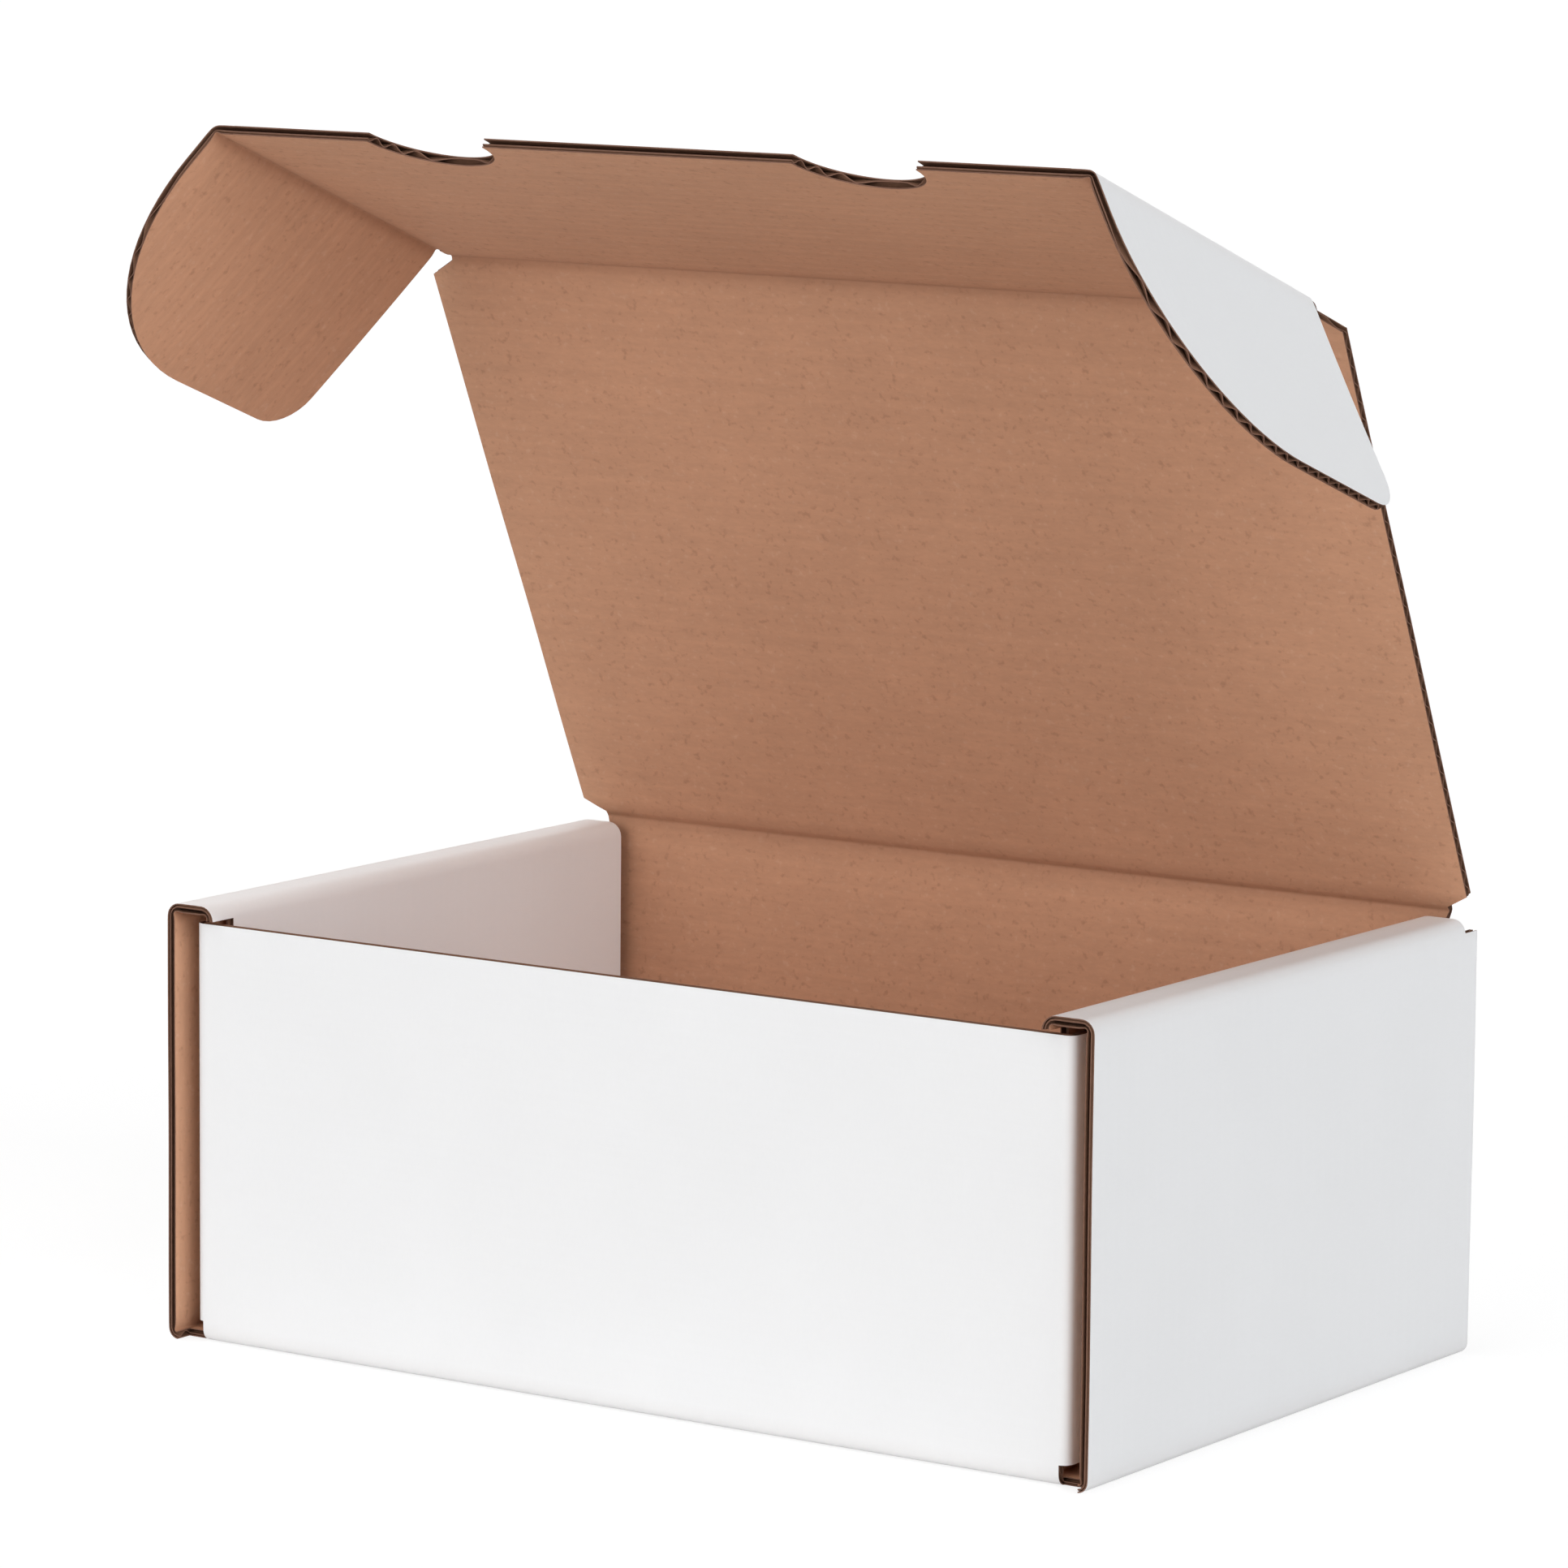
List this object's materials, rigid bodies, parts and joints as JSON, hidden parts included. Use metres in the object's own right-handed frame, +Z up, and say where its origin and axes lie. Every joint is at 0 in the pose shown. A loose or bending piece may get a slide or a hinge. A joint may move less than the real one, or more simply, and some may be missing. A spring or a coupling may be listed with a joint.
{
  "type": "cardboard storage box",
  "caption": "Small corrugated board box folded from one blank, white outside and kraft inside, with rolled sides, a hinged lid and a tuck flap with two ears.",
  "frame": {"origin": "centre of the tray's underside, on the surface the box stands on", "axes": "+Z up, -Y towards the front wall, +Y towards the lid's hinge, X across the box"},
  "size_m": [0.2288, 0.125, 0.211],
  "materials": {
    "tray_board": "matte",
    "lid_board": "matte",
    "flap_board": "matte",
    "ear_board": "matte"
  },
  "bodies": {
    "tray": {"tray": "tray_board"},
    "lid": {"lid": "lid_board"},
    "tuck_flap": {"tuck_flap": "flap_board"},
    "left_ear": {"left_ear": "ear_board"},
    "right_ear": {"right_ear": "ear_board"}
  },
  "joints": [
    {"name": "lid_hinge", "type": "hinge", "parent": "tray", "child": "lid", "pos_m": [0, 0.0617, 0.0778], "axis": [-1, 0, 0], "range_deg": [-27, 115]},
    {"name": "tuck_fold", "type": "hinge", "parent": "lid", "child": "tuck_flap", "pos_m": [0, 0.01158, 0.18529], "axis": [-1, 0, 0], "range_deg": [-45, 45]},
    {"name": "left_ear_fold", "type": "hinge", "parent": "tuck_flap", "child": "left_ear", "pos_m": [-0.08975, 0.01158, 0.18529], "axis": [-0.0274, 0.9393, -0.3419], "range_deg": [-34, 56]},
    {"name": "right_ear_fold", "type": "hinge", "parent": "tuck_flap", "child": "right_ear", "pos_m": [0.08975, 0.01158, 0.18529], "axis": [-0.0274, -0.9393, 0.3419], "range_deg": [-34, 56]}
  ]
}
